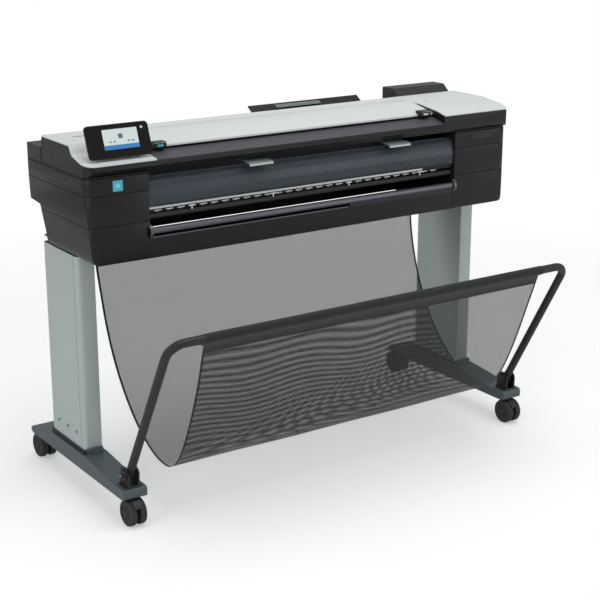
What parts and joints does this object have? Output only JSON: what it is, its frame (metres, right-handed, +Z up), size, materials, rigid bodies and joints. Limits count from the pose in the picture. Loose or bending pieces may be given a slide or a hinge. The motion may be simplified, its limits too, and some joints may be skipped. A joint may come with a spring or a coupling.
{
  "type": "large format plotter",
  "caption": "Free-standing wide roll plotter with a sheet scanner on top, tilting touch panel, castored stand and a mesh media basket.",
  "frame": {"origin": "middle of the floor area that the plotter covers, at floor level", "axes": "+Z up, +X to the right seen from the front, the front faces -Y"},
  "size_m": [1.403, 0.8302, 1.0387],
  "materials": {
    "foot_paint": "satin dark slate paint",
    "leg_paint": "satin grey-green paint",
    "tube_paint": "semi-gloss black paint",
    "black_plastic": "fine texture",
    "wheel_rubber": "matte",
    "mesh_fabric": "open black mesh",
    "steel": "brushed",
    "body_plastic": "fine texture, charcoal",
    "roller_rubber": "matte",
    "grey_plastic": "satin",
    "smoked_window": "clear smoked",
    "clear_glass": "clear",
    "white_plastic": "satin cool white",
    "ink_cyan": "satin",
    "ink_magenta": "satin",
    "ink_yellow": "satin",
    "ink_black": "satin"
  },
  "bodies": {
    "root": {"foot_left": "foot_paint", "foot_right": "foot_paint", "leg_left": "leg_paint", "leg_right": "leg_paint", "cross_brace": "leg_paint", "basket_hinge_left": "black_plastic", "basket_hinge_right": "black_plastic", "basket_rod": "steel", "fabric_rear": "mesh_fabric", "end_cover_left": "body_plastic", "end_cover_right": "body_plastic", "base_pan": "steel", "side_frame_left": "steel", "side_frame_right": "steel", "front_lower_panel": "body_plastic", "rear_cover": "body_plastic", "platen": "black_plastic", "starwheel_rail": "steel", "output_bar": "steel", "carriage_rail": "steel", "drive_belt": "roller_rubber", "service_station": "black_plastic", "electronics_box": "steel", "scanner_base": "body_plastic", "scanner_cap_left": "white_plastic", "scanner_cap_right": "white_plastic", "scanner_glass": "clear_glass", "scan_sensor": "black_plastic", "ink_cartridge_cyan": "ink_cyan", "ink_cartridge_magenta": "ink_magenta", "ink_cartridge_yellow": "ink_yellow", "ink_cartridge_black": "ink_black", "power_inlet": "black_plastic"},
    "caster_front_left": {"caster_fork_front_left": "black_plastic"},
    "wheels_front_left": {"caster_wheels_front_left": "wheel_rubber"},
    "caster_rear_left": {"caster_fork_rear_left": "black_plastic"},
    "wheels_rear_left": {"caster_wheels_rear_left": "wheel_rubber"},
    "caster_front_right": {"caster_fork_front_right": "black_plastic"},
    "wheels_front_right": {"caster_wheels_front_right": "wheel_rubber"},
    "caster_rear_right": {"caster_fork_rear_right": "black_plastic"},
    "wheels_rear_right": {"caster_wheels_rear_right": "wheel_rubber"},
    "basket": {"basket_frame": "tube_paint", "fabric_front": "mesh_fabric"},
    "feed": {"feed_roller": "roller_rubber"},
    "output": {"output_roller": "roller_rubber"},
    "carriage": {"carriage": "black_plastic"},
    "pulley": {"motor_pulley": "steel"},
    "cutter": {"cutter": "grey_plastic"},
    "window": {"front_window": "smoked_window"},
    "flap_left": {"guide_flap_left": "grey_plastic"},
    "flap_right": {"guide_flap_right": "grey_plastic"},
    "lid": {"scanner_lid": "white_plastic"},
    "scan_roller": {"scan_roller": "roller_rubber"},
    "panel": {"touch_panel": "black_plastic", "display_glass": "clear_glass"},
    "ink_door": {"ink_cover": "body_plastic"},
    "roll_door": {"roll_cover": "body_plastic"},
    "support": {"sheet_support": "black_plastic"},
    "spindle": {"roll_spindle": "black_plastic"},
    "rocker": {"power_switch": "black_plastic"}
  },
  "joints": [
    {"name": "caster_swivel_front_left", "type": "hinge", "parent": "root", "child": "caster_front_left", "pos_m": [-0.656, -0.1609, 0.08], "axis": [0, 0, 1], "continuous": true},
    {"name": "wheel_roll_front_left", "type": "hinge", "parent": "caster_front_left", "child": "wheels_front_left", "pos_m": [-0.656, -0.1809, 0.036], "axis": [1, 0, 0], "continuous": true},
    {"name": "caster_swivel_rear_left", "type": "hinge", "parent": "root", "child": "caster_rear_left", "pos_m": [-0.656, 0.3591, 0.08], "axis": [0, 0, 1], "continuous": true},
    {"name": "wheel_roll_rear_left", "type": "hinge", "parent": "caster_rear_left", "child": "wheels_rear_left", "pos_m": [-0.656, 0.3791, 0.036], "axis": [1, 0, 0], "continuous": true},
    {"name": "caster_swivel_front_right", "type": "hinge", "parent": "root", "child": "caster_front_right", "pos_m": [0.656, -0.1609, 0.08], "axis": [0, 0, 1], "continuous": true},
    {"name": "wheel_roll_front_right", "type": "hinge", "parent": "caster_front_right", "child": "wheels_front_right", "pos_m": [0.656, -0.1809, 0.036], "axis": [1, 0, 0], "continuous": true},
    {"name": "caster_swivel_rear_right", "type": "hinge", "parent": "root", "child": "caster_rear_right", "pos_m": [0.656, 0.3591, 0.08], "axis": [0, 0, 1], "continuous": true},
    {"name": "wheel_roll_rear_right", "type": "hinge", "parent": "caster_rear_right", "child": "wheels_rear_right", "pos_m": [0.656, 0.3791, 0.036], "axis": [1, 0, 0], "continuous": true},
    {"name": "basket_tilt", "type": "hinge", "parent": "root", "child": "basket", "pos_m": [0, -0.1669, 0.138], "axis": [1, 0, 0], "range_deg": [-25, 30]},
    {"name": "feed_roller_spin", "type": "hinge", "parent": "root", "child": "feed", "pos_m": [0, 0.0861, 0.792], "axis": [1, 0, 0], "continuous": true},
    {"name": "output_roller_spin", "type": "hinge", "parent": "root", "child": "output", "pos_m": [0, -0.0569, 0.7915], "axis": [1, 0, 0], "continuous": true},
    {"name": "carriage_slide", "type": "slide", "parent": "root", "child": "carriage", "axis": [1, 0, 0], "range_m": [-1.04, 0]},
    {"name": "motor_pulley_spin", "type": "hinge", "parent": "root", "child": "pulley", "pos_m": [-0.505, 0.1481, 0.89], "axis": [0, 0, 1], "continuous": true},
    {"name": "cutter_slide", "type": "slide", "parent": "root", "child": "cutter", "axis": [1, 0, 0], "range_m": [0, 0.96]},
    {"name": "window_open", "type": "hinge", "parent": "root", "child": "window", "pos_m": [0, -0.0469, 0.893], "axis": [-1, 0, 0], "range_deg": [0, 40]},
    {"name": "guide_flap_left_swing", "type": "hinge", "parent": "root", "child": "flap_left", "pos_m": [-0.193, -0.0269, 0.912], "axis": [1, 0, 0], "range_deg": [0, 8]},
    {"name": "guide_flap_right_swing", "type": "hinge", "parent": "root", "child": "flap_right", "pos_m": [0.276, -0.0269, 0.912], "axis": [1, 0, 0], "range_deg": [0, 8]},
    {"name": "lid_open", "type": "hinge", "parent": "root", "child": "lid", "pos_m": [0, 0.1761, 0.971], "axis": [-1, 0, 0], "range_deg": [0, 60]},
    {"name": "scan_roller_spin", "type": "hinge", "parent": "lid", "child": "scan_roller", "pos_m": [0, 0.0161, 0.965], "axis": [1, 0, 0], "continuous": true},
    {"name": "panel_tilt", "type": "hinge", "parent": "root", "child": "panel", "pos_m": [-0.593, -0.0349, 0.964], "axis": [-1, 0, 0], "range_deg": [0, 25]},
    {"name": "ink_cover_open", "type": "hinge", "parent": "root", "child": "ink_door", "pos_m": [0.6, 0.2841, 0.9546], "axis": [-1, 0, 0], "range_deg": [0, 80]},
    {"name": "roll_cover_open", "type": "hinge", "parent": "root", "child": "roll_door", "pos_m": [0, 0.2021, 0.946], "axis": [1, 0, 0], "range_deg": [0, 60]},
    {"name": "sheet_support_lift", "type": "hinge", "parent": "roll_door", "child": "support", "pos_m": [0.198, 0.2341, 0.9583], "axis": [1, 0, 0], "range_deg": [0, 30]},
    {"name": "roll_spindle_spin", "type": "hinge", "parent": "root", "child": "spindle", "pos_m": [0, 0.2411, 0.87625], "axis": [1, 0, 0], "continuous": true},
    {"name": "power_switch_rock", "type": "hinge", "parent": "root", "child": "rocker", "pos_m": [-0.6235, 0.2831, 0.87625], "axis": [-1, 0, 0], "range_deg": [0, 14]}
  ],
  "couplings": [
    {"joint": "output_roller_spin", "follows": "feed_roller_spin", "ratio": 1.4667},
    {"joint": "motor_pulley_spin", "follows": "carriage_slide", "rad_per_m": -83.333}
  ]
}
